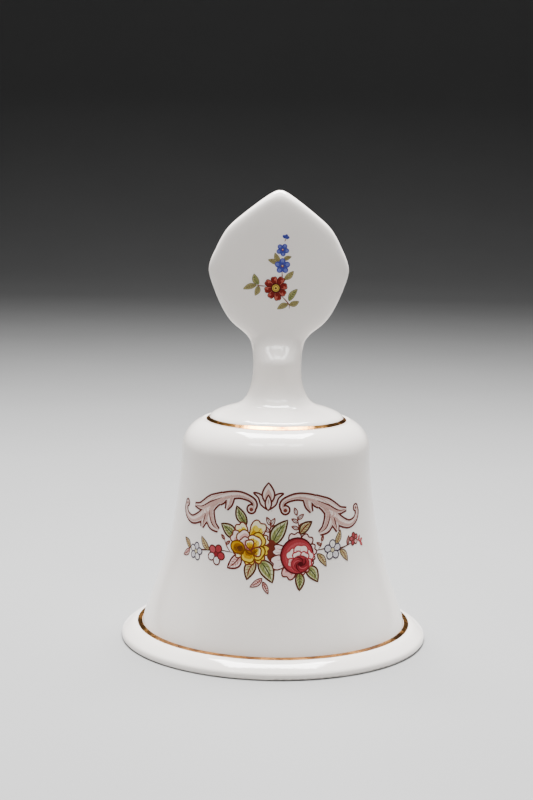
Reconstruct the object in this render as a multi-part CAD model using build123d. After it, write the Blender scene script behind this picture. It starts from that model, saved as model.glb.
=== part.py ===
"""Porcelain hand bell: a flared cup, a luted paddle handle, gilt lines and a hung clapper.

Millimetres, +Z up. The origin is the centre of the standing ring, on the table.
The decorated front faces -Y and the flat of the handle lies in the XZ plane.
"""

from build123d import *
import os
from math import cos, pi, radians, sin

# ---------------------------------------------------------------- driving dimensions
TOTAL_HEIGHT = 130.0

# Cup: outer profile radii and heights
LIP_RADIUS = 44.5
LIP_CORNER = 0.8  # rounding of the lip's lower outer edge
STANDING_RING_INNER = 41.0
FLANGE_HEIGHT = 4.65  # top of the lip flange, in the crease below the wall
FLANGE_INNER = 38.4
WALL_THICKNESS = 2.7
WALL_TOP_RADIUS = 27.3
SHOULDER_CENTRE_HEIGHT = 55.85  # centre of the shoulder's round
SHOULDER_ROUND = 9.0
SHOULDER_END = 20.6  # degrees off level where the shoulder's round stops
COLLAR_RADIUS = 20.3  # crease between the shoulder and the gilt line
COLLAR_HEIGHT = 64.25
SEAT_RADIUS = 19.3  # joint between cup and handle
SEAT_HEIGHT = 65.0

# Waist of the wall, as (radius, height) from the flange up
WALL_POINTS = [(36.4, 11.0), (32.6, 22.0), (29.1, 37.0), (27.55, 50.0)]

# Gilt lines
GILT_THICKNESS = 0.08
GILT_GAP = 0.05  # bare glaze between a crease and the line's edge
LIP_LINE_WIDTH = 1.5
LIP_LINE_DROP = 0.3

# Handle, as level sections from the luted foot to the tip
STEM_RADIUS = 6.95
PADDLE_DEPTH = 2.7  # half the paddle's thickness

# Round sections of the domed foot and its sweep into the stem: height, radius
FOOT_SECTIONS = [
    (66.1, 18.2),
    (66.8, 16.65),
    (67.5, 14.6),
    (68.2, 12.35),
    (69.15, 10.5),
    (70.55, 9.15),
    (72.3, 8.2),
    (74.3, 7.55),
    (76.7, 7.12),
    (79.5, STEM_RADIUS),
]

# Sections of the paddle: height, half width, half depth, exponent (2 is an ellipse)
PADDLE_SECTIONS = [
    (80.8, 6.96, 6.93, 2.0),
    (81.9, 7.0, 6.62, 2.0),
    (83.0, 7.06, 5.95, 2.0),
    (84.2, 7.19, 5.05, 2.1),
    (85.4, 7.4, 4.15, 2.2),
    (86.6, 7.7, 3.42, 2.35),
    (87.8, 8.3, 2.98, 2.5),
    (89.2, 9.5, 2.78, 2.7),
    (90.7, 11.35, 2.72, 2.95),
    (92.2, 13.1, PADDLE_DEPTH, 3.2),
    (93.6, 14.3, PADDLE_DEPTH, 3.4),
    (97.0, 16.35, PADDLE_DEPTH, 3.8),
    (102.2, 18.6, PADDLE_DEPTH, 4.0),
    (105.6, 19.75, PADDLE_DEPTH, 4.0),
    (107.5, 20.05, PADDLE_DEPTH, 4.0),
    (109.3, 19.75, PADDLE_DEPTH, 4.0),
    (111.2, 19.1, PADDLE_DEPTH, 4.0),
    (113.0, 18.25, PADDLE_DEPTH, 4.0),
    (115.0, 17.3, PADDLE_DEPTH, 3.9),
    (117.0, 16.25, PADDLE_DEPTH, 3.8),
    (119.3, 14.7, 2.68, 3.6),
    (122.7, 11.1, 2.6, 3.4),
    (126.0, 6.95, 2.4, 3.0),
    (128.2, 3.95, 1.95, 2.4),
    (129.5, 1.85, 1.15, 2.1),
    (TOTAL_HEIGHT, 0.65, 0.45, 2.0),
]
SECTION_POINTS = 32

# Clapper gear
PLUG_RADIUS = 6.5
PLUG_HEIGHT = 2.75
WIRE_RADIUS = 0.5
LINK_WIRE_RADIUS = 0.45
EYE_RADIUS = 2.8  # centreline radius of the eye's bend
EYE_EMBED = 1.6  # how far the eye's legs run into the plug
EYE_DROP = 2.2  # straight leg below the plug
LINK_RADIUS = 2.4
LINK_STRAIGHT = 5.2
LOOP_RADIUS = 2.4  # loop at the top of the clapper wire
HANG_GAP = 0.08  # clearance between two wires that hang in each other
WRAP_TURNS = 3
WRAP_PITCH = 0.95  # wire wound tight on wire
BULB_RADIUS = 7.5
BULB_HEIGHT = 16.0  # centre of the bulb above the table
BULB_BORE = 0.56
BULB_FLAT = 0.35  # depth of the flats ground on the bulb's poles
BEAD_RADIUS = 1.5
BEAD_LENGTH = 2.0
WIRE_STUB = 0.7  # wire end below the bead

# ---------------------------------------------------------------- derived places
CROWN_UNDERSIDE = SHOULDER_CENTRE_HEIGHT + SHOULDER_ROUND - WALL_THICKNESS
SHOULDER_CENTRE_RADIUS = WALL_TOP_RADIUS - SHOULDER_ROUND

PLUG_BOTTOM = CROWN_UNDERSIDE - PLUG_HEIGHT
EYE_CENTRE = PLUG_BOTTOM - EYE_DROP
EYE_BOTTOM = EYE_CENTRE - EYE_RADIUS
LINK_TOP = EYE_BOTTOM + WIRE_RADIUS + HANG_GAP + LINK_WIRE_RADIUS
LINK_BOTTOM = LINK_TOP - LINK_STRAIGHT - 2 * LINK_RADIUS
LOOP_TOP = LINK_BOTTOM + LINK_WIRE_RADIUS + HANG_GAP + WIRE_RADIUS
LOOP_CENTRE = LOOP_TOP - LOOP_RADIUS
LOOP_BOTTOM = LOOP_CENTRE - LOOP_RADIUS
BEAD_TOP = BULB_HEIGHT - BULB_RADIUS + BULB_FLAT
WIRE_END = BEAD_TOP - BEAD_LENGTH - WIRE_STUB


# ---------------------------------------------------------------- helpers
def on_profile(radius, height):
    """A point of a turned profile, drawn in the XZ plane."""
    return Vector(radius, 0, height)


def turned(*edges):
    """Closed profile edges, spun round the bell's axis."""
    face = make_face(Curve() + list(edges), Plane.XZ)
    return revolve(face, Axis.Z, 360)


def superellipse(height, half_width, half_depth, exponent):
    """A level cross-section, from an ellipse (2) towards a rounded rectangle.

    Its seam is in the middle of the back.
    """
    points = []
    for step in range(SECTION_POINTS):
        angle = pi / 2 + 2 * pi * step / SECTION_POINTS
        x = abs(cos(angle)) ** (2 / exponent) * (1 if cos(angle) >= 0 else -1)
        y = abs(sin(angle)) ** (2 / exponent) * (1 if sin(angle) >= 0 else -1)
        points.append((half_width * x, half_depth * y, height))
    return make_face(Spline(*points, periodic=True))


def round_wire(path, radius, start, direction):
    """A round wire of the given radius along a path."""
    section = Plane(origin=start, z_dir=direction) * Circle(radius)
    return sweep(section, path=path)


# ---------------------------------------------------------------- cup
def flange_curve():
    """Convex top of the lip, from its outer edge in to the gilt line."""
    return Spline(
        on_profile(LIP_RADIUS, LIP_CORNER),
        on_profile(43.35, 2.65),
        on_profile(41.45, 3.9),
        flange_line_end(),
        tangents=[(0, 0, 1), (-1, 0, 0.15)],
    )


def flange_line_end():
    """Outer end of the straight stretch that the lip's gilt line covers."""
    return on_profile(FLANGE_INNER + LIP_LINE_WIDTH, FLANGE_HEIGHT - LIP_LINE_DROP)


def wall_curve():
    """Flared outer wall, from the crease above the flange up to the shoulder."""
    return Spline(
        on_profile(FLANGE_INNER, FLANGE_HEIGHT),
        *[on_profile(radius, height) for radius, height in WALL_POINTS],
        on_profile(WALL_TOP_RADIUS, SHOULDER_CENTRE_HEIGHT),
        tangents=[(-0.25, 0, 1), (0, 0, 1)],
    )


def inner_wall_curve(wall):
    """Inside of the wall, one thickness in, flaring under the lip."""
    inner = []
    for fraction in (0.95, 0.75, 0.55, 0.35, 0.15):
        along = (wall % fraction).normalized()
        inner.append((wall @ fraction) - Vector(along.Z, 0, -along.X) * WALL_THICKNESS)
    top = on_profile(WALL_TOP_RADIUS - WALL_THICKNESS, SHOULDER_CENTRE_HEIGHT)
    under_flange = on_profile(38.7, FLANGE_HEIGHT - WALL_THICKNESS)
    mouth = on_profile(STANDING_RING_INNER, 0)
    return Spline(top, *inner, under_flange, mouth, tangents=[(0, 0, -1), (0.9, 0, -1)])


def shoulder_round(angle, offset=0.0):
    """A point of the shoulder's round, at an angle above level, some way inside it."""
    return on_profile(
        SHOULDER_CENTRE_RADIUS + (SHOULDER_ROUND - offset) * cos(angle),
        SHOULDER_CENTRE_HEIGHT + (SHOULDER_ROUND - offset) * sin(angle),
    )


def bell_cup():
    ring_outer = on_profile(LIP_RADIUS - LIP_CORNER, 0)
    corner_middle = on_profile(
        LIP_RADIUS - LIP_CORNER * (1 - sin(pi / 4)),
        LIP_CORNER * (1 - cos(pi / 4)),
    )
    wall = wall_curve()
    sweep_angle = radians(90 - SHOULDER_END)
    round_end = shoulder_round(sweep_angle)
    collar = on_profile(COLLAR_RADIUS, COLLAR_HEIGHT)
    seat_edge = on_profile(SEAT_RADIUS, SEAT_HEIGHT)
    crown_edge = shoulder_round(pi / 2, WALL_THICKNESS)
    inner_middle = shoulder_round(pi / 4, WALL_THICKNESS)
    inner_top = shoulder_round(0, WALL_THICKNESS)
    return turned(
        Line(on_profile(STANDING_RING_INNER, 0), ring_outer),
        ThreePointArc(ring_outer, corner_middle, on_profile(LIP_RADIUS, LIP_CORNER)),
        flange_curve(),
        Line(flange_line_end(), on_profile(FLANGE_INNER, FLANGE_HEIGHT)),
        wall,
        ThreePointArc(wall @ 1, shoulder_round(sweep_angle / 2), round_end),
        Line(round_end, collar),
        Line(collar, seat_edge),
        Line(seat_edge, on_profile(0, SEAT_HEIGHT)),
        Line(on_profile(0, SEAT_HEIGHT), on_profile(0, CROWN_UNDERSIDE)),
        Line(on_profile(0, CROWN_UNDERSIDE), crown_edge),
        ThreePointArc(crown_edge, inner_middle, inner_top),
        inner_wall_curve(wall),
    )


def gilt_line(inner, outer):
    """A thin film of gold along the straight stretch between two creases."""
    along = (outer - inner).normalized()
    lift = Vector(-along.Z, 0, along.X) * GILT_THICKNESS
    start = inner + along * GILT_GAP
    end = outer - along * GILT_GAP
    return turned(
        Line(start, end),
        Line(end, end + lift),
        Line(end + lift, start + lift),
        Line(start + lift, start),
    )


# ---------------------------------------------------------------- handle
def handle():
    """One smooth casting, lofted from the seat on the cup to the tip of the paddle."""
    sections = [superellipse(SEAT_HEIGHT, SEAT_RADIUS, SEAT_RADIUS, 2.0)]
    for height, radius in FOOT_SECTIONS:
        sections.append(superellipse(height, radius, radius, 2.0))
    for section in PADDLE_SECTIONS:
        sections.append(superellipse(*section))
    return loft(sections)


# ---------------------------------------------------------------- clapper gear
def crown_eye():
    """Wire staple: two legs in the plug, joined by a bend in the XZ plane."""
    leg_top = PLUG_BOTTOM + EYE_EMBED
    start = Vector(-EYE_RADIUS, 0, leg_top)
    path = Polyline(start, (-EYE_RADIUS, 0, EYE_CENTRE))
    path += ThreePointArc(
        (-EYE_RADIUS, 0, EYE_CENTRE),
        (0, 0, EYE_BOTTOM),
        (EYE_RADIUS, 0, EYE_CENTRE),
    )
    path += Line((EYE_RADIUS, 0, EYE_CENTRE), (EYE_RADIUS, 0, leg_top))
    return round_wire(path, WIRE_RADIUS, start, (0, 0, -1))


def crown_plug(eye):
    """Cement button in the crown that grips the eye's legs."""
    edge_height = CROWN_UNDERSIDE - 0.9
    plug = turned(
        Line(on_profile(0, CROWN_UNDERSIDE), on_profile(PLUG_RADIUS, CROWN_UNDERSIDE)),
        Line(on_profile(PLUG_RADIUS, CROWN_UNDERSIDE), on_profile(PLUG_RADIUS, edge_height)),
        Spline(
            on_profile(PLUG_RADIUS, edge_height),
            on_profile(5.3, PLUG_BOTTOM + 0.45),
            on_profile(3.9, PLUG_BOTTOM),
            tangents=[(-0.2, 0, -1), (-1, 0, 0)],
        ),
        Line(on_profile(3.9, PLUG_BOTTOM), on_profile(0, PLUG_BOTTOM)),
        Line(on_profile(0, PLUG_BOTTOM), on_profile(0, CROWN_UNDERSIDE)),
    )
    return plug - eye


def hanger_link():
    """Closed oval link in the YZ plane."""
    upper = LINK_TOP - LINK_RADIUS
    lower = LINK_BOTTOM + LINK_RADIUS
    start = Vector(0, LINK_RADIUS, (upper + lower) / 2)
    path = Line(start, (0, LINK_RADIUS, upper))
    path += ThreePointArc((0, LINK_RADIUS, upper), (0, 0, LINK_TOP), (0, -LINK_RADIUS, upper))
    path += Line((0, -LINK_RADIUS, upper), (0, -LINK_RADIUS, lower))
    path += ThreePointArc((0, -LINK_RADIUS, lower), (0, 0, LINK_BOTTOM), (0, LINK_RADIUS, lower))
    path += Line((0, LINK_RADIUS, lower), start)
    return round_wire(path, LINK_WIRE_RADIUS, start, (0, 0, 1))


def clapper_wire():
    """Loop, wrapped neck and straight shank, as one length of wire."""
    loop_plane = Plane(origin=(0, 0, LOOP_CENTRE), z_dir=(0, 1, 0))
    loop = loop_plane * Torus(LOOP_RADIUS, WIRE_RADIUS)
    shank = Pos(0, 0, WIRE_END) * Cylinder(
        WIRE_RADIUS,
        LOOP_BOTTOM - WIRE_END,
        align=(Align.CENTER, Align.CENTER, Align.MIN),
    )
    wire = loop + shank
    for turn in range(WRAP_TURNS):
        height = LOOP_BOTTOM - (turn + 1) * WRAP_PITCH
        wire += Pos(0, 0, height) * Torus(WRAP_PITCH, WIRE_RADIUS)
    return wire


def clapper_bulb():
    """Porcelain ball, flatted at its poles and bored for the wire."""
    ball = Pos(0, 0, BULB_HEIGHT) * Sphere(BULB_RADIUS)
    slab = Pos(0, 0, BULB_HEIGHT) * Box(
        3 * BULB_RADIUS,
        3 * BULB_RADIUS,
        2 * (BULB_RADIUS - BULB_FLAT),
    )
    bore = Pos(0, 0, BULB_HEIGHT) * Cylinder(BULB_BORE, 3 * BULB_RADIUS)
    return (ball & slab) - bore


def end_bead():
    """Crimp bead under the bulb that keeps it on the wire."""
    bead = Pos(0, 0, BEAD_TOP) * Cylinder(
        BEAD_RADIUS,
        BEAD_LENGTH,
        align=(Align.CENTER, Align.CENTER, Align.MAX),
    )
    bead = fillet(bead.edges(), 0.4)
    bore = Pos(0, 0, BEAD_TOP) * Cylinder(WIRE_RADIUS, 3 * BEAD_LENGTH)
    return bead - bore


# ---------------------------------------------------------------- assembly
def all_nodes():
    eye = crown_eye()
    seat_edge = on_profile(SEAT_RADIUS, SEAT_HEIGHT)
    collar = on_profile(COLLAR_RADIUS, COLLAR_HEIGHT)
    crease = on_profile(FLANGE_INNER, FLANGE_HEIGHT)
    return {
        "bell_cup": bell_cup(),
        "handle": handle(),
        "shoulder_gilt_line": gilt_line(seat_edge, collar),
        "lip_gilt_line": gilt_line(crease, flange_line_end()),
        "crown_plug": crown_plug(eye),
        "crown_eye": eye,
        "hanger_link": hanger_link(),
        "clapper_wire": clapper_wire(),
        "clapper_bulb": clapper_bulb(),
        "end_bead": end_bead(),
    }


os.makedirs("parts", exist_ok=True)
for name, shape in all_nodes().items():
    export_step(shape, f"parts/{name}.step")
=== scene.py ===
import math
import random

import bmesh
import bpy
from mathutils import Matrix, Vector, geometry


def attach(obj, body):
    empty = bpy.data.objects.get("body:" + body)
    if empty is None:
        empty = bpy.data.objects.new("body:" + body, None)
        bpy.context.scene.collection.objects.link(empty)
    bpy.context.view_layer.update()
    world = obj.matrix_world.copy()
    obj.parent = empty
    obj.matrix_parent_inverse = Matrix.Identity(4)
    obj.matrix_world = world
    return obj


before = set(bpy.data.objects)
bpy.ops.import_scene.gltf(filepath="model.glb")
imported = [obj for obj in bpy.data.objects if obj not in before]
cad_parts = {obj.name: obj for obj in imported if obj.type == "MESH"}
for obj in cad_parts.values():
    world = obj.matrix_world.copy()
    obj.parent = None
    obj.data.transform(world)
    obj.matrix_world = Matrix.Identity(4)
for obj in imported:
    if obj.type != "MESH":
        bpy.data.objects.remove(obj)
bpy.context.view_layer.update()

MM = 0.001
SEED = 7


# ---------------------------------------------------------------- materials
def linear(hex_colour):
    """A colour written as rrggbb, as linear red, green, blue and alpha."""
    channels = [int(hex_colour[i:i + 2], 16) / 255 for i in (0, 2, 4)]
    return (*[c / 12.92 if c < 0.04045 else ((c + 0.055) / 1.055) ** 2.4 for c in channels], 1)


class Shader:
    """A node material under construction, measured in the object's own metres."""

    def __init__(self, name, **constants):
        self.material = bpy.data.materials.new(name)
        self.material.use_nodes = True
        self.tree = self.material.node_tree
        self.surface = self.tree.nodes["Principled BSDF"]
        self.place = self.tree.nodes.new("ShaderNodeTexCoord").outputs["Object"]
        for socket, value in constants.items():
            self.surface.inputs[socket.replace("_", " ")].default_value = value

    def node(self, kind, inputs, output=0, **settings):
        """Add a node, feed its inputs with values or sockets, and give one output."""
        node = self.tree.nodes.new("ShaderNode" + kind)
        for key, value in settings.items():
            setattr(node, key, value)
        for socket, value in inputs.items():
            self.feed(node.inputs[socket], value)
        return node.outputs[output]

    def feed(self, socket, value):
        if isinstance(value, bpy.types.NodeSocket):
            self.tree.links.new(value, socket)
        else:
            socket.default_value = value

    def noise(self, scale, detail=3.0, place=None):
        inputs = {"Vector": place or self.place, "Scale": scale, "Detail": detail}
        return self.node("TexNoise", inputs)

    def stretch(self, value, low, high, to_low=0.0, to_high=1.0):
        """Map a range onto another, and hold it at its ends."""
        inputs = {"Value": value, 1: low, 2: high, 3: to_low, 4: to_high}
        return self.node("MapRange", inputs)

    def maths(self, operation, a, b=0.0):
        return self.node("Math", {0: a, 1: b}, operation=operation)

    def blend(self, factor, a, b):
        """Mix two colours; the colour sockets of the node are numbers 6 and 7."""
        return self.node("Mix", {0: factor, 6: a, 7: b}, output=2, data_type="RGBA")

    def bump(self, height, distance, strength=1.0, normal=None):
        inputs = {"Height": height, "Distance": distance, "Strength": strength}
        if normal:
            inputs["Normal"] = normal
        return self.node("Bump", inputs)

    def finish(self, **links):
        for socket, value in links.items():
            self.feed(self.surface.inputs[socket.replace("_", " ")], value)
        return self.material


def glaze(name, ring_height=None):
    """White porcelain under clear glaze; the body is bare below ring_height."""
    shader = Shader(name, Specular_IOR_Level=0.5, Coat_Weight=0.25, Coat_Roughness=0.04)
    drift = shader.noise(28, 2)
    colour = shader.blend(
        shader.stretch(drift, 0.35, 0.65), linear("F1EAE3"), linear("F7F1EB")
    )
    pores = shader.node("TexVoronoi", {"Vector": shader.place, "Scale": 260})
    kept = shader.stretch(shader.noise(95, 1), 0.66, 0.68)
    speck = shader.maths("MULTIPLY", shader.stretch(pores, 0.10, 0.05), kept)
    colour = shader.blend(speck, colour, linear("8A7660"))
    roughness = shader.stretch(shader.noise(60, 4), 0.3, 0.7, 0.07, 0.13)
    if ring_height is not None:
        height = shader.node("SeparateXYZ", {0: shader.place}, output=2)
        bare = shader.stretch(height, ring_height, 0.4 * ring_height)
        grain = shader.noise(2200, 3)
        body = shader.blend(grain, linear("CFC6B8"), linear("E6E0D5"))
        colour = shader.blend(bare, colour, body)
        roughness = shader.maths("ADD", roughness, shader.maths("MULTIPLY", bare, 0.5))
    waves = shader.bump(shader.noise(70, 1), 0.0002, 0.35)
    skin = shader.bump(shader.noise(900, 2), 0.00002, 0.25, waves)
    return shader.finish(Base_Color=colour, Roughness=roughness, Normal=skin)


def gold():
    """Burnished gold laid on with a brush: thinner, browner patches and brush lines."""
    shader = Shader("fired_gold", Metallic=1.0)
    patch = shader.stretch(shader.noise(160, 4), 0.42, 0.66)
    colour = shader.blend(patch, linear("D8984E"), linear("7A4A26"))
    wear = shader.stretch(shader.noise(1500, 2), 0.62, 0.72)
    colour = shader.blend(wear, colour, linear("4E2E18"))
    roughness = shader.stretch(shader.noise(420, 3), 0.3, 0.7, 0.16, 0.34)
    ripple = shader.bump(shader.noise(1200, 3), 0.00004, 0.5)
    return shader.finish(Base_Color=colour, Roughness=roughness, Normal=ripple)


def brass():
    """Drawn brass wire, dulled brown where it isn't rubbed."""
    shader = Shader("drawn_brass", Metallic=1.0)
    tarnish = shader.stretch(shader.noise(420, 5), 0.4, 0.68)
    colour = shader.blend(tarnish, linear("D2A85C"), linear("7C5A31"))
    roughness = shader.stretch(tarnish, 0, 1, 0.24, 0.52)
    marks = shader.bump(shader.noise(2600, 4), 0.00003, 0.6)
    return shader.finish(Base_Color=colour, Roughness=roughness, Normal=marks)


def cement():
    """Set plaster cement with sand and small air holes, with painted shade in the holes."""
    shader = Shader("set_cement", Specular_IOR_Level=0.3)
    sand = shader.noise(1700, 6)
    colour = shader.blend(
        shader.stretch(sand, 0.35, 0.65), linear("B9B1A2"), linear("DDD7CB")
    )
    holes = shader.node("TexVoronoi", {"Vector": shader.place, "Scale": 900})
    pit_relief_and_shade = shader.stretch(holes, 0.12, 0.3)
    # painted shade: the air holes are coloured darker, as if shadow lay inside them
    colour = shader.blend(pit_relief_and_shade, linear("8C8577"), colour)
    relief = shader.bump(shader.maths("ADD", sand, pit_relief_and_shade), 0.0001, 0.8)
    return shader.finish(Base_Color=colour, Roughness=0.85, Normal=relief)


def bulb_glaze():
    """Thin glaze on the clapper, with grey rubs from the wall it strikes."""
    shader = Shader("clapper_glaze", Coat_Weight=0.2, Coat_Roughness=0.08)
    rubs = shader.stretch(shader.noise(520, 6), 0.56, 0.7, 0.0, 0.55)
    colour = shader.blend(rubs, linear("EDEAE4"), linear("A9A49B"))
    roughness = shader.stretch(rubs, 0, 0.55, 0.16, 0.42)
    skin = shader.bump(shader.noise(700, 2), 0.00004, 0.4)
    return shader.finish(Base_Color=colour, Roughness=roughness, Normal=skin)


def ink(name, colour):
    """Fired enamel ink: one flat colour, with the soft relief of a transfer."""
    shader = Shader("ink_" + name, Base_Color=linear(colour), Roughness=0.2)
    return shader.finish(Normal=shader.bump(shader.noise(1800, 2), 0.00002, 0.5))


# ---------------------------------------------------------------- drawing in the flat
# Points are complex numbers in millimetres: across is real and up is imaginary.
RIM = 0.54  # outline of the scrolls
FINE = 0.4  # longest step along a smooth line
PEN = 0.5  # outline of leaves and petals
NIB = 0.3  # outline of the smallest leaves
HAIR = 0.17  # veins and shading lines


def smooth(points, closed=False):
    """Close points of a smooth line through the given ones."""
    count = len(points)
    line = []
    for i in range(count if closed else count - 1):
        here, after = points[i], points[(i + 1) % count]
        before = points[i - 1] if closed or i else 2 * here - after
        beyond = points[(i + 2) % count] if closed or i + 2 < count else 2 * after - here
        steps = max(2, math.ceil(abs(after - here) / FINE))
        for step in range(steps):
            t = step / steps
            line.append(0.5 * (
                2 * here + (after - before) * t
                + (2 * before - 5 * here + 4 * after - beyond) * t ** 2
                + (3 * here - before - 3 * after + beyond) * t ** 3
            ))
    return line if closed else line + [points[-1]]


def spread(values, t):
    """Read evenly spaced values at t, from 0 at the first to 1 at the last."""
    spot = t * (len(values) - 1)
    index = min(int(spot), len(values) - 2)
    return values[index] + (values[index + 1] - values[index]) * (spot - index)


def edges(line, widths):
    """Left and right edges of a ribbon along a line."""
    left, right = [], []
    for i, point in enumerate(line):
        along = line[min(i + 1, len(line) - 1)] - line[max(i - 1, 0)]
        half = spread(widths, i / (len(line) - 1)) / 2
        normal = 1j * along / abs(along)
        left.append(point + normal * half)
        right.append(point - normal * half)
    return left, right


def blade(base, tip, width, bend=0.0, steps=12):
    """Middle line and outline of a pointed leaf that bows to its left by `bend`."""
    axis = tip - base
    normal = 1j * axis / abs(axis)
    middle, left, right = [], [], []
    for step in range(steps + 1):
        t = step / steps
        centre = base + axis * t + normal * bend * 4 * t * (1 - t)
        half = width / 2 * math.sin(math.pi * t ** 0.85) ** 0.9 if 0 < t < 1 else 0
        middle.append(centre)
        left.append(centre + normal * half)
        right.append(centre - normal * half)
    return middle, right + left[-2:0:-1]


def oval(centre, across, up=None, turn=0.0, steps=24):
    """Outline of an ellipse, from its half axes."""
    up = across if up is None else up
    spin = complex(math.cos(turn), math.sin(turn))
    angles = [2 * math.pi * step / steps for step in range(steps)]
    return [centre + spin * complex(across * math.cos(a), up * math.sin(a)) for a in angles]


def ray(centre, degrees, reach):
    """The point at a bearing and a distance from a centre."""
    return centre + reach * complex(math.cos(math.radians(degrees)), math.sin(math.radians(degrees)))


def petal(hub, facing, spread_angle, reach, notch=0.05, steps=14):
    """A petal's outline: out from the hub, round a notched rim and back."""
    rim = []
    for step in range(steps + 1):
        s = 2 * step / steps - 1
        dome = 0.42 + 0.58 * max(0, 1 - abs(s) ** 2.4) ** 0.5
        dip = 1 - notch * math.cos(math.pi * s) ** 4
        rim.append(ray(hub, facing + spread_angle * s, reach * dome * dip))
    return [hub] + rim


class Artwork:
    """Flat inks, painted one over another."""

    def __init__(self, seed):
        self.shapes = []
        self.chance = random.Random(seed)

    def fill(self, ink_name, outline):
        self.shapes.append((ink_name, outline))

    def band(self, ink_name, line, widths):
        """A ribbon, as a row of triangles, so that a tight bend can't fold it over."""
        left, right = edges(line, widths)
        for i in range(len(line) - 1):
            self.fill(ink_name, [right[i], right[i + 1], left[i + 1]])
            self.fill(ink_name, [right[i], left[i + 1], left[i]])

    def stroke(self, ink_name, line, width, tip=0.35):
        """A pen line that thins towards its ends."""
        self.band(ink_name, line, [width * tip, width, width, width * tip])

    def ring(self, ink_name, outline, width=PEN):
        """A pen line all round a shape."""
        self.band(ink_name, outline + outline[:2], [width, width])

    def tones(self, inks, hub, facing, spread_angle, reach, line, notch):
        """A petal shaded from its rim to its heart, with shading lines."""
        for depth, name in enumerate(inks):
            opening = spread_angle * (1 - 0.08 * depth)
            self.fill(name, petal(hub, facing, opening, reach * (1 - 0.2 * depth), notch))
        for _ in range(7):
            lean = self.chance.uniform(-0.75, 0.75) * spread_angle
            start = self.chance.uniform(0.45, 0.6) * reach
            end = start + self.chance.uniform(0.12, 0.26) * reach
            ends = [ray(hub, facing + lean, start), ray(hub, facing + lean, end)]
            self.stroke(inks[-1], smooth(ends), HAIR)
        self.ring(line, petal(hub, facing, spread_angle, reach, notch), 0.8 * PEN)

    def leaf(self, inks, base, tip, width, bend=0.0, pen=PEN):
        """A veined leaf; inks are its outline, veins, shade and light."""
        line, vein, shade, light = inks
        middle, outline = blade(base, tip, width, bend)
        self.fill(light, outline)
        self.fill(shade, blade(base, base + 0.86 * (tip - base), 0.66 * width, 0.8 * bend)[1])
        self.fill(light, blade(middle[3], middle[9], 0.22 * width, 0.2 * bend)[1])
        axis = tip - base
        for t in (0.16, 0.32, 0.48, 0.64):
            root = spread(middle, t)
            for side in (1, -1):
                out = side * 1j * axis / abs(axis) * width * 0.36 * math.sin(math.pi * (t + 0.12))
                rib = [root, root + 0.55 * out + 0.07 * axis, root + out + 0.16 * axis]
                self.stroke(vein, rib, HAIR)
        self.stroke(vein, middle[:-1], 0.8 * pen)
        self.ring(line, outline, pen)

    def blossom(self, inks, centre, radius, turn, eye):
        """A five-petalled blossom; inks are its outline, then one fill for each petal."""
        line, fills = inks
        for index, name in enumerate(fills):
            bearing = turn + 72 * index
            middle = ray(centre, bearing, 0.62 * radius)
            cup = oval(middle, 0.42 * radius, 0.38 * radius, math.radians(bearing), 14)
            self.fill(name, cup)
            self.ring(line, cup, 0.75 * PEN)
            vein = [ray(centre, bearing, share * radius) for share in (0.3, 0.7)]
            self.stroke(line, vein, HAIR)
        self.fill(eye, oval(centre, 0.24 * radius, steps=10))
        self.ring(line, oval(centre, 0.24 * radius, steps=10), HAIR)

    def sprig(self, ink_name, stem, leaflets, size, fill_name=None):
        """A bare stem with small leaflets, each as a share of the stem and a bearing."""
        line = smooth(stem)
        self.stroke(ink_name, line, NIB)
        for share, bearing in leaflets:
            root = spread(line, share)
            middle, outline = blade(root, ray(root, bearing, size), 0.42 * size, steps=8)
            if fill_name:
                self.fill(fill_name, outline)
            self.stroke(ink_name, middle[:-1], HAIR)
            self.ring(ink_name, outline, NIB)


# ---------------------------------------------------------------- the cup's transfer
MIDDLE = -2.0  # the design sits a little left of the bell's centre line
GREEN = ("umber", "leaf_deep", "leaf_mid", "leaf_light")
AUTUMN = ("umber", "rose_brown", "dry_grass", "straw")
BLUSHED = ("maroon", "rose_brown", "shell", "blush")


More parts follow.
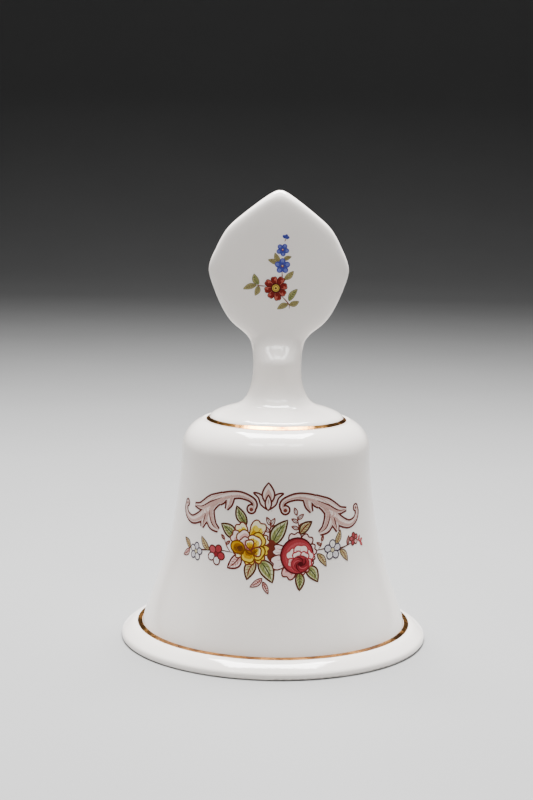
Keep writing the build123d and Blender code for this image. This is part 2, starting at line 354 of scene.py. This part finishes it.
def scroll_arm(art, side):
    """One acanthus arm; side is -1 on the left and 1 on the right."""

    def at(*places):
        return [complex(MIDDLE + side * out, up) for out, up in places]

    spines = [
        (at((4.9, 43.0), (3.9, 43.9), (3.9, 45.2), (5.3, 46.3), (8.2, 47.0),
            (11.8, 46.4), (15.0, 45.0), (17.5, 42.9), (18.4, 40.8)),
         [0.7, 0.8, 1.0, 1.3, 1.6, 1.9, 2.4, 2.8, 2.8]),
        (at((13.0, 46.0), (17.4, 44.2), (20.9, 42.4), (24.0, 42.3)), [2.1, 2.8, 2.1, 0.3]),
        (at((18.0, 42.4), (17.8, 40.2), (16.7, 37.9), (14.6, 36.6)), [3.0, 2.9, 2.3, 0.6]),
        (at((19.0, 41.4), (19.8, 39.2), (20.7, 36.6)), [2.8, 2.3, 0.3]),
        (at((19.6, 40.8), (21.8, 39.2), (24.9, 38.1), (27.6, 38.9), (28.7, 40.7), (28.2, 42.2)),
         [2.2, 2.1, 1.7, 1.3, 1.0, 0.8]),
        (at((11.0, 46.2), (11.3, 44.4), (12.2, 42.6)), [2.2, 1.5, 0.25]),
        (at((13.2, 45.4), (13.7, 44.6), (14.4, 43.9)), [1.6, 1.0, 0.25]),
    ]
    lobes = [(smooth(spine), widths) for spine, widths in spines]
    knobs = [(at((4.7, 43.4))[0], 0.95), (at((28.0, 42.2))[0], 0.7)]
    for line, widths in lobes:
        art.band("maroon", line, [width + 2 * RIM for width in widths])
    for centre, radius in knobs:
        art.fill("maroon", oval(centre, radius + RIM))
    for line, widths in lobes:
        art.band("scroll_light", line, widths)
    for centre, radius in knobs:
        art.fill("scroll_light", oval(centre, radius))
    for line, widths in lobes:
        left, right = edges(line, widths)
        inner, outer = (right, left) if side > 0 else (left, right)
        hollow = [a + 0.3 * (b - a) for a, b in zip(inner, outer)]
        art.band("scroll_mid", hollow, [0.42 * width for width in widths])
        crest = [a + 0.9 * (b - a) for a, b in zip(inner, outer)]
        art.band("scroll_mid", crest, [0.1 * width for width in widths])
        for i in range(1, len(line) - 1):
            reach = art.chance.uniform(0.3, 0.7)
            art.stroke("scroll_deep", [inner[i], inner[i] + reach * (outer[i] - inner[i])], HAIR)
    for line, widths in lobes[1:4]:
        art.stroke("maroon", line[2:-2], 0.8 * PEN)
    for centre, radius in knobs:
        art.fill("scroll_mid", oval(centre, 0.8 * radius, steps=12))
        art.fill("scroll_deep", oval(centre - 0.15j * radius, 0.55 * radius, steps=12))


def palmette(art):
    """Pointed bud between two petals that curl outwards, on a small drop."""
    foot = complex(MIDDLE, 43.5)
    for side in (-1, 1):
        lobe = smooth([
            foot, foot + complex(side * 2.0, 1.2), foot + complex(side * 2.8, 3.1),
            foot + complex(side * 4.1, 4.4), foot + complex(side * 2.4, 4.2),
            foot + complex(side * 1.0, 2.9),
        ], closed=True)
        art.fill("scroll_light", lobe)
        art.ring("maroon", lobe)
        for k in range(6):
            start = foot + complex(side * (0.9 + 0.32 * k), 0.8 + 0.55 * k)
            art.stroke("scroll_deep", [start, start + complex(-side * 0.2, 0.95)], HAIR)
    middle, bud = blade(foot + 1.4j, foot + 7.3j, 3.4)
    art.fill("scroll_light", bud)
    art.fill("scroll_mid", blade(foot + 1.6j, foot + 5.6j, 2.0)[1])
    art.ring("maroon", bud)
    drop = blade(foot - 0.3j, foot + 4.0j, 1.7)[1]
    art.fill("scroll_light", drop)
    art.stroke("scroll_deep", middle[:4], HAIR)
    art.ring("maroon", drop, 0.9 * PEN)


def yellow_rose(art):
    hub = complex(-7.2, 33.5)
    lemon = ("lemon", "yellow", "ochre")
    pale = ("cream", "lemon", "yellow", "ochre")
    blush = ("blush", "shell", "rose_light")
    outer = [
        (pale, 118, 25, 6.7), (pale, 62, 27, 7.6), (pale, 20, 22, 6.0), (lemon, -14, 22, 5.9),
        (lemon, -48, 24, 5.8), (lemon, -88, 26, 5.4), (pale, 215, 24, 5.2), (blush, 152, 28, 6.0),
    ]
    for inks, facing, angle, reach in outer:
        art.tones(inks, hub, facing, angle, reach, "rose_brown", 0.09)
    bowl = hub + complex(0.2, -0.2)
    cup = [
        (lemon, 36, 40, 4.9), (lemon, -34, 42, 4.7), (lemon, -100, 40, 4.5), (blush, 128, 40, 4.8),
    ]
    for inks, facing, angle, reach in cup:
        art.tones(inks, bowl, facing, angle, reach, "bronze", 0.04)
    heart = bowl + complex(0.3, -1.2)
    heart_petals = [
        (pale, 68, 46, 4.4), (blush, 132, 38, 4.2), (pale, -6, 42, 3.0), (pale, 100, 40, 3.0),
    ]
    for inks, facing, angle, reach in heart_petals:
        art.tones(inks, heart, facing, angle, reach, "rose_brown", 0.05)
    for lift in (0.0, 0.7, 1.3):
        fold = [
            heart + complex(-2.5 + lift, 1.6 - 0.4 * lift),
            heart + complex(-1.2 + 0.3 * lift, -0.3 - 0.3 * lift),
            heart + complex(0.7, -0.9 + 0.3 * lift),
            heart + complex(2.4 - lift, 0.9 - 0.2 * lift),
        ]
        art.stroke("bronze", smooth(fold), 0.75 * PEN)
    bud = hub + complex(-3.3, -0.7)
    bulge = oval(bud, 2.05, 1.7, -0.3)
    art.fill("yellow", bulge)
    art.fill("ochre", oval(bud + complex(0.35, -0.25), 1.6, 1.3, -0.3))
    art.fill("amber", oval(bud + complex(0.8, -0.35), 0.9, 0.8, -0.3))
    for k in range(6):
        start = bud + complex(-1.2 + 0.42 * k, -1.3 + 0.06 * k)
        art.stroke("umber", smooth([start, start + complex(0.15, 0.9), start + complex(0.6, 1.6)]), HAIR)
    art.ring("bronze", bulge, 0.8 * PEN)


def pink_rose(art):
    hub = complex(6.2, 31.0)
    pale = ("blush", "blush", "shell", "rose_light")
    warm = ("shell", "rose_light", "rose_mid")
    outer = [
        (pale, 98, 27, 6.4), (pale, 56, 26, 6.5), (pale, 18, 25, 5.9), (pale, 164, 20, 7.2),
        (pale, 198, 24, 7.7), (warm, 243, 27, 6.9), (pale, -18, 24, 5.4), (warm, -62, 24, 5.6),
    ]
    for inks, facing, angle, reach in outer:
        art.tones(inks, hub, facing, angle, reach, "maroon", 0.1)
    shades = (
        ("crimson", 4.6, 0.0), ("rose_deep", 4.3, 0.22), ("rose_mid", 3.8, 0.5),
        ("rose_light", 3.3, 0.8), ("shell", 2.8, 1.05),
    )
    for name, radius, shift in shades:
        art.fill(name, oval(hub + complex(shift, -0.8 * shift), radius, 1.04 * radius, steps=32))
    for k in range(34):
        bearing = 52 + 6.5 * k
        inner = art.chance.uniform(2.9, 3.8)
        art.stroke("crimson", [ray(hub, bearing, inner), ray(hub, bearing, 4.6)], 1.1 * HAIR)
    art.ring("wine", oval(hub, 4.6, 4.8, steps=32), 0.8 * PEN)
    heart = hub + complex(0.9, -2.2)
    inner_petals = [
        (pale, 132, 34, 5.0), (pale, 44, 34, 4.6), (pale, 88, 38, 5.2), (warm, 172, 30, 3.7),
        (warm, 6, 30, 3.4), (pale, 112, 34, 3.6), (pale, 60, 34, 3.5),
    ]
    for inks, facing, angle, reach in inner_petals:
        art.tones(inks, heart, facing, angle, reach, "rose_deep", 0.07)
    heart_shades = (
        ("rose_deep", 2.5, 2.1, 0), ("crimson", 2.0, 1.65, 0.15), ("wine", 0.8, 0.65, 0.1),
    )
    for name, across, up, shift in heart_shades:
        art.fill(name, oval(heart + complex(shift, -shift), across, up))
    art.ring("crimson", oval(heart, 2.5, 2.1), 0.7 * PEN)
    for k in range(5):
        swirl = [ray(heart, 20 + 72 * k + 26 * turn, 0.6 + 0.36 * turn) for turn in range(5)]
        art.stroke("rose_mid" if k % 2 else "wine", smooth(swirl), 0.6 * PEN)
    for k in range(9):
        skirt = [ray(heart, 182 + 21 * k, 2.3), ray(heart, 190 + 21 * k, 3.1)]
        art.stroke("crimson", skirt, HAIR)


def garlands(art):
    """Sprays and small blossoms above the roses and out to both sides."""
    art.sprig(
        "rose_brown", [-1.6 + 34.6j, -1.5 + 37.6j, -1.2 + 39.4j],
        [(0.95, 118), (0.9, 62), (0.55, 140), (0.6, 44)], 2.5,
    )
    art.sprig(
        "rose_brown", [6.6 + 36.4j, 6.5 + 39.0j, 5.9 + 42.2j],
        [(0.95, 108), (0.75, 40), (0.6, 150), (0.4, 25), (0.3, 160)], 2.2,
    )
    art.stroke("umber", smooth([-12 + 31.2j, -17.5 + 31.4j, -22 + 30.6j, -28.4 + 30.4j]), 0.9 * PEN)
    art.stroke("umber", smooth([11 + 32j, 15 + 32.4j, 20 + 32.0j, 25.4 + 33.2j]), 0.9 * PEN)
    art.leaf(AUTUMN, -19.6 + 30.8j, -22.6 + 34.2j, 1.7, 0.3, NIB)
    art.leaf(AUTUMN, -27.2 + 30.2j, -30.0 + 32.6j, 1.5, -0.3, NIB)
    art.leaf(BLUSHED, -27.4 + 30.0j, -30.2 + 28.0j, 1.5, 0.3, NIB)
    art.sprig("rose_brown", [-12.6 + 31.2j, -13.8 + 32.7j, -14.6 + 34.6j], [(0.95, 128), (0.6, 40)], 1.6)
    art.leaf(AUTUMN, 17.9 + 33.2j, 19.6 + 36.9j, 1.7, -0.3, NIB)
    art.leaf(AUTUMN, 19.4 + 31.6j, 22.2 + 28.2j, 1.7, 0.35, NIB)
    art.leaf(AUTUMN, 12.0 + 31.2j, 14.8 + 27.6j, 1.7, 0.3, NIB)
    art.leaf(BLUSHED, 22.2 + 32.5j, 22.9 + 34.9j, 1.0, pen=NIB)
    art.sprig("rose_brown", [12.4 + 32.4j, 13.2 + 33.4j, 13.4 + 34.6j], [(0.95, 75), (0.5, 150)], 1.6)
    art.sprig(
        "rose_deep", [25.6 + 33.4j, 27.0 + 33.0j, 28.0 + 32.2j],
        [(0.5, 60), (0.9, -40), (0.8, 30)], 1.5, "shell",
    )

    grey = ("slate", ["mist", "white_ink", "mist", "white_ink", "mist"])
    part_red = ("maroon", ["rose_deep", "rose_mid", "white_ink", "white_ink", "rose_deep"])
    red = ("maroon", ["rose_deep", "rose_mid", "rose_deep", "shell", "rose_mid"])
    art.blossom(grey, -24.6 + 29.8j, 2.3, 80, "straw")
    art.blossom(part_red, -17.2 + 30.1j, 2.7, 62, "crimson")
    art.blossom(grey, 16.9 + 31.8j, 2.6, 20, "straw")
    art.blossom(red, 25.0 + 33.7j, 1.7, 100, "crimson")


def rose_leaves(art):
    """Leaves round the roses."""
    art.leaf(GREEN, -8.0 + 39.2j, -10.9 + 43.9j, 2.7, 0.4)
    art.leaf(GREEN, -11.2 + 35.1j, -15.6 + 38.6j, 3.1, -0.4)
    art.leaf(GREEN, -0.8 + 33.8j, 3.4 + 40.6j, 3.6, 0.5)
    art.leaf(AUTUMN, 6.9 + 36.8j, 10.3 + 40.0j, 2.3, 0.4)
    art.leaf(BLUSHED, -9.6 + 30.9j, -13.4 + 27.0j, 3.0, 0.5)
    art.leaf(AUTUMN, -5.4 + 29.4j, -7.7 + 24.4j, 2.9, -0.5)
    art.leaf(GREEN, -4.4 + 29.8j, -0.6 + 23.9j, 3.7, 0.5)
    art.leaf(GREEN, 8.6 + 28.0j, 12.2 + 23.8j, 3.0, 0.5)
    art.leaf(GREEN, 6.8 + 26.6j, 6.9 + 21.8j, 2.4, 0.2)
    art.leaf(BLUSHED, -3.4 + 24.9j, -6.8 + 22.5j, 1.5, 0.2, NIB)
    art.leaf(BLUSHED, -3.2 + 24.0j, -1.7 + 20.9j, 1.3, pen=NIB)


def shaded_gap(art):
    """The dark space between the two roses."""
    art.fill("rose_brown", oval(complex(-0.8, 32.2), 1.7, 3.1, 0.1))
    for k in range(9):
        foot = complex(-2.1 + 0.3 * k, 29.9 + 0.1 * k)
        art.stroke("maroon", [foot, complex(-1.7 + 0.3 * k, 34.4)], HAIR)


def cup_art():
    art = Artwork(SEED)
    scroll_arm(art, -1)
    scroll_arm(art, 1)
    palmette(art)
    garlands(art)
    rose_leaves(art)
    shaded_gap(art)
    yellow_rose(art)
    pink_rose(art)
    return art


# ---------------------------------------------------------------- the handle's transfer
def blue_blossom(art, centre, radius, turn):
    """A five-petalled blue flower: the petals, then the light and the line on each."""
    bearings = [turn + 72 * index for index in range(5)]
    for bearing in bearings:
        middle = ray(centre, bearing, 0.58 * radius)
        art.fill("blue", oval(middle, 0.5 * radius, 0.43 * radius, math.radians(bearing), 12))
    for bearing in bearings:
        middle = ray(centre, bearing, 0.72 * radius)
        glint = oval(middle, 0.27 * radius, 0.22 * radius, math.radians(bearing), 10)
        art.fill("blue_light", glint)
        line = [ray(centre, bearing, share * radius) for share in (0.15, 0.62)]
        art.stroke("blue_deep", line, HAIR)
    art.fill("stem_red", oval(centre, 0.2 * radius, steps=10))
    art.fill("straw", oval(centre + 0.08j, 0.11 * radius, steps=8))


def red_flower(art, hub):
    """An eight-petalled red flower with a yellow eye."""
    for index in range(8):
        bearing = 12 + 45 * index
        reach = art.chance.uniform(3.3, 3.7)
        art.fill("salmon", petal(hub, bearing, 25, reach))
        art.fill("poppy", petal(hub, bearing + 5, 20, 0.93 * reach))
        art.fill("salmon", petal(hub, bearing - 6, 9, 0.84 * reach))
        art.fill("poppy", petal(hub, bearing, 19, 0.68 * reach))
        art.ring("garnet", petal(hub, bearing, 25, reach), 0.16)
    for index in range(24):
        bearing = 15 * index
        reach = art.chance.uniform(1.7, 2.5)
        art.stroke("garnet", [ray(hub, bearing, 0.8), ray(hub, bearing, reach)], 0.24)
    art.fill("garnet", oval(hub, 1.4))
    art.fill("pollen", oval(hub, 1.02))
    art.ring("amber", oval(hub, 0.75), 0.16)
    art.fill("umber", oval(hub - 0.05j, 0.3, steps=10))


def handle_art():
    art = Artwork(SEED + 1)
    olive = ("olive_line", "olive_line", "olive", "dry_grass")
    green = ("leaf_deep", "leaf_deep", "leaf_mid", "dry_grass")
    art.stroke("stem_red", smooth([0.9 + 107.6j, 1.0 + 105.2j, 1.3 + 103.6j]), 0.3)
    art.stroke("stem_red", smooth([1.1 + 104.2j, 1.9 + 104.8j, 2.3 + 105.6j]), 0.22)
    art.stroke("stem_red", smooth([-3.6 + 102.9j, -5.2 + 103.0j, -6.4 + 103.2j]), 0.28)
    art.stroke("stem_red", smooth([0.6 + 100.4j, 2.2 + 98.8j, 3.1 + 97.6j, 3.1 + 96.6j]), 0.32)
    art.stroke("stem_red", smooth([1.5 + 115.6j, 1.9 + 116.4j]), 0.22)
    leaves = [
        (olive, -6.3 + 103.2j, -10.1 + 102.0j, 1.5, -0.2),
        (green, -5.7 + 103.4j, -7.1 + 106.4j, 1.7, 0.3),
        (olive, -5.7 + 103.0j, -6.7 + 100.2j, 1.5, 0.2),
        (olive, 1.6 + 104.9j, 4.2 + 107.3j, 1.5, -0.2),
        (olive, 0.3 + 109.6j, -1.2 + 112.4j, 1.4, 0.2),
        (olive, -0.2 + 109.2j, -3.1 + 110.4j, 1.3, -0.2),
        (olive, 1.2 + 110.4j, 3.5 + 111.4j, 1.1, 0.1),
        (green, 3.0 + 98.8j, 5.4 + 102.2j, 1.6, 0.3),
        (olive, 3.1 + 97.7j, 5.9 + 98.7j, 1.5, -0.2),
        (olive, 2.8 + 97.9j, -0.3 + 96.4j, 1.5, -0.2),
    ]
    for inks, base, tip, width, bend in leaves:
        art.leaf(inks, base, tip, width, bend, HAIR)
    blue_blossom(art, 1.0 + 108.7j, 2.1, 90)
    blue_blossom(art, 1.0 + 113.3j, 1.75, 60)
    bud = 1.8 + 116.7j
    for bearing in (70, 140, 10):
        art.fill("blue", oval(ray(bud, bearing, 0.5), 0.6, 0.45, math.radians(bearing), 12))
        art.stroke("blue_deep", [1.7 + 116.3j, ray(bud, bearing, 0.8)], 0.15)
    red_flower(art, complex(-0.8, 102.4))
    return art


# ---------------------------------------------------------------- inks and films
INKS = {
    "maroon": "58201A", "rose_brown": "6A2C1E", "umber": "4A281A",
    "scroll_light": "DFCDC5", "scroll_mid": "C4A096", "scroll_deep": "6E3329",
    "cream": "E8DDB8", "lemon": "D8BC3C", "yellow": "BC8C08", "ochre": "8E5A08", "amber": "6A3C0C",
    "bronze": "6A3E10",
    "blush": "E6D0CA", "shell": "D0A29C", "rose_light": "BC787A", "rose_mid": "A8484E",
    "rose_deep": "983238", "crimson": "7C2228", "wine": "481014",
    "leaf_light": "BABB94", "leaf_mid": "82864E", "leaf_deep": "444824",
    "olive": "8A8050", "olive_line": "6A5E3A", "straw": "BFB48C", "dry_grass": "A89E6C",
    "slate": "403440", "mist": "C8C4C8", "white_ink": "DEDAD6",
    "blue": "3C4290", "blue_light": "666CB0", "blue_deep": "262A62",
    "poppy": "701812", "salmon": "A85244", "garnet": "440C0A", "stem_red": "722822", "pollen": "C8AA46",
}
LIFT = 0.05 * MM  # height of the film's face over the glaze
FILM = 0.1 * MM  # the film's thickness; its underside lies inside the glaze
MERGE = 0.02  # mm; closer corners become one
FLAT = math.radians(0.5)  # faces of one ink join where they bend less than this
SPECK = 0.001 * MM  # edges shorter than this are closed up


def inside(point, outline):
    """Whether an outline encloses a point, by counting the edges to its right."""
    odd = False
    last = outline[-1]
    for here in outline:
        if (here.imag > point.imag) != (last.imag > point.imag):
            share = (point.imag - here.imag) / (last.imag - here.imag)
            if point.real < here.real + share * (last.real - here.real):
                odd = not odd
        last = here
    return odd


def by_cell(shapes):
    """List the shapes whose box reaches each square millimetre, lowest first."""
    cells = {}
    for index, (_, outline) in enumerate(shapes):
        across = [math.floor(point.real) for point in outline]
        up = [math.floor(point.imag) for point in outline]
        for column in range(min(across), max(across) + 1):
            for row in range(min(up), max(up) + 1):
                cells.setdefault((column, row), []).append(index)
    return cells


def inked_triangles(art):
    """Cut artwork into flat triangles, each with the ink of the highest shape over it."""
    corners, borders = [], []
    for _, outline in art.shapes:
        first = len(corners)
        count = len(outline)
        borders.extend((first + i, first + (i + 1) % count) for i in range(count))
        corners.extend(Vector((point.real, point.imag)) for point in outline)
    points, _, triangles, _, _, _ = geometry.delaunay_2d_cdt(corners, borders, [], 0, MERGE, False)
    cells = by_cell(art.shapes)
    inked = []
    for triangle in triangles:
        middle = sum((complex(*points[i]) for i in triangle), 0j) / 3
        under = cells.get((math.floor(middle.real), math.floor(middle.imag)), [])
        top = next((i for i in reversed(under) if inside(middle, art.shapes[i][1])), None)
        if top is not None:
            inked.append((triangle, art.shapes[top][0]))
    return points, inked


def printed(name, art, place, materials):
    """Turn artwork into a thin closed film; `place` puts a flat point on the object."""
    points, inked = inked_triangles(art)
    used = sorted({ink_name for _, ink_name in inked})
    film = bmesh.new()
    top = [film.verts.new(place(point.x, point.y, LIFT)) for point in points]
    under = [film.verts.new(place(point.x, point.y, LIFT - FILM)) for point in points]
    for (a, b, c), ink_name in inked:
        film.faces.new((top[a], top[b], top[c])).material_index = used.index(ink_name)
        film.faces.new((under[c], under[b], under[a])).material_index = used.index(ink_name)
    lower = dict(zip(top, under))
    for edge in [edge for edge in film.edges if edge.is_boundary and edge.verts[0] in lower]:
        face = edge.link_faces[0]
        start, end = edge.verts
        if edge.link_loops[0].vert is start:
            start, end = end, start
        side = film.faces.new((start, end, lower[end], lower[start]))
        side.material_index = face.material_index
    bmesh.ops.delete(film, geom=[vert for vert in film.verts if not vert.link_faces], context="VERTS")
    bmesh.ops.remove_doubles(film, verts=film.verts, dist=SPECK)
    bmesh.ops.dissolve_limit(
        film, angle_limit=FLAT, verts=film.verts, edges=film.edges, delimit={"MATERIAL"}
    )
    bmesh.ops.triangulate(film, faces=film.faces)
    mesh = bpy.data.meshes.new(name)
    film.to_mesh(mesh)
    film.free()
    for ink_name in used:
        mesh.materials.append(materials[ink_name])
    piece = bpy.data.objects.new(name, mesh)
    bpy.context.scene.collection.objects.link(piece)
    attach(piece, "bell")


PROBES = 24
PROBE_TURN = 0.37  # keeps the probes off the facets' edges
OUTSIDE = 0.2  # from the axis, clear of the cup
IN_FRONT = 0.1  # from the axis, clear of the handle


def cup_radius(height):
    """Outer radius of the cup's wall, averaged over its facets."""
    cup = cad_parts["bell_cup"]
    total = 0
    for step in range(PROBES):
        angle = 2 * math.pi * (step + PROBE_TURN) / PROBES
        outward = Vector((math.cos(angle), math.sin(angle), 0))
        start = outward * OUTSIDE + Vector((0, 0, height))
        _, spot, _, _ = cup.ray_cast(start, -outward)
        total += Vector((spot.x, spot.y)).length
    return total / PROBES


# Heights between which the wall's radius is read, in millimetres
WALL_LOW = 18
WALL_HIGH = 54
WALL_STEPS = 36
WALL_RADII = [
    cup_radius((WALL_LOW + (WALL_HIGH - WALL_LOW) * step / WALL_STEPS) * MM)
    for step in range(WALL_STEPS + 1)
]


def on_cup(across, up, lift):
    """A spot over the glaze; across is measured round the wall from the front's middle."""
    radius = spread(WALL_RADII, (up - WALL_LOW) / (WALL_HIGH - WALL_LOW))
    angle = across * MM / radius
    radius += lift
    return (radius * math.sin(angle), -radius * math.cos(angle), up * MM)


def on_handle(across, up, lift):
    """A spot over the paddle's front, straight behind the flat one."""
    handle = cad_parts["handle"]
    start = Vector((across * MM, -IN_FRONT, up * MM))
    _, spot, _, _ = handle.ray_cast(start, Vector((0, 1, 0)))
    return (spot.x, spot.y - lift, spot.z)


inks = {name: ink(name, colour) for name, colour in INKS.items()}
printed("cup_flower_transfer", cup_art(), on_cup, inks)
printed("handle_flower_transfer", handle_art(), on_handle, inks)


# ---------------------------------------------------------------- materials on the CAD nodes
STANDING_RING = 0.06 * MM  # the glaze stops this far above the table
NODE_MATERIALS = {
    "bell_cup": glaze("cup_glaze", STANDING_RING),
    "handle": glaze("handle_glaze"),
    "crown_plug": cement(),
    "clapper_bulb": bulb_glaze(),
}
gilding = gold()
wire = brass()
for name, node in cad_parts.items():
    fallback = gilding if name.endswith("gilt_line") else wire
    for slot in node.material_slots:
        slot.material = NODE_MATERIALS.get(name, fallback)


# ---------------------------------------------------------------- studio
FLOOR_HALF_WIDTH = 3.0
FLOOR_FRONT = -1.5
FLOOR_BACK = 1.2  # where the rise starts
RISE = 1.2  # radius of the rise
RISE_STEPS = 12
BACKDROP_TOP = 3.0


def floor():
    """A pale sweep: flat under the bell, with a slow rise far behind it."""
    mesh = bpy.data.meshes.new("studio_floor")
    outline = [(FLOOR_FRONT, 0.0), (FLOOR_BACK, 0.0)]
    for step in range(1, RISE_STEPS + 1):
        angle = math.pi / 2 * step / RISE_STEPS
        outline.append((FLOOR_BACK + RISE * math.sin(angle), RISE * (1 - math.cos(angle))))
    outline.append((FLOOR_BACK + RISE, BACKDROP_TOP))
    points = [(x, y, z) for y, z in outline for x in (-FLOOR_HALF_WIDTH, FLOOR_HALF_WIDTH)]
    faces = [(2 * i, 2 * i + 1, 2 * i + 3, 2 * i + 2) for i in range(len(outline) - 1)]
    mesh.from_pydata(points, [], faces)
    mesh.shade_smooth()
    shader = Shader("studio_paper", Roughness=0.6)
    tone = shader.blend(shader.noise(9, 2), linear("8A8A8A"), linear("909090"))
    mesh.materials.append(shader.finish(Base_Color=tone))
    sweep = bpy.data.objects.new("studio_floor", mesh)
    bpy.context.scene.collection.objects.link(sweep)


AIM = (0, 0, 0.06)  # the middle of the bell


def softbox(name, place, width, height, watts):
    """A rectangular light that faces the bell."""
    light = bpy.data.lights.new(name, "AREA")
    light.shape = "RECTANGLE"
    light.size = width
    light.size_y = height
    light.energy = watts
    lamp = bpy.data.objects.new(name, light)
    lamp.location = place
    lamp.rotation_euler = (Vector(AIM) - Vector(place)).to_track_quat("-Z", "Y").to_euler()
    bpy.context.scene.collection.objects.link(lamp)


floor()
softbox("top_softbox", (0.0, 0.12, 0.62), width=0.42, height=0.3, watts=26.0)
for side, hand in ((-1, "left"), (1, "right")):
    softbox(hand + "_softbox", (0.5 * side, 0.05, 0.3), width=0.5, height=0.6, watts=0.4)
for across, hand in ((-0.24, "left"), (0.0, "middle"), (0.24, "right")):
    softbox(hand + "_spot", (across, -0.34, 0.66), width=0.2, height=0.11, watts=0.9)

STUDIO_AIR = (0.05, 0.05, 0.051, 1)
world = bpy.data.worlds.new("studio_air")
world.use_nodes = True
world.node_tree.nodes["Background"].inputs["Color"].default_value = STUDIO_AIR
bpy.context.scene.world = world

# The camera looks down on the bell from a little above its handle, and leans slightly.
CAMERA_PLACE = (-0.00295, -0.4584, 0.1375)
CAMERA_DOWN = 8.41  # degrees below level
CAMERA_LEAN = 0.89  # degrees
camera = bpy.data.cameras.new("camera")
camera.lens = 72
camera.sensor_width = 36
viewer = bpy.data.objects.new("camera", camera)
viewer.matrix_world = (
    Matrix.Translation(CAMERA_PLACE)
    @ Matrix.Rotation(math.radians(90 - CAMERA_DOWN), 4, "X")
    @ Matrix.Rotation(math.radians(CAMERA_LEAN), 4, "Z")
)
bpy.context.scene.collection.objects.link(viewer)
bpy.context.scene.camera = viewer
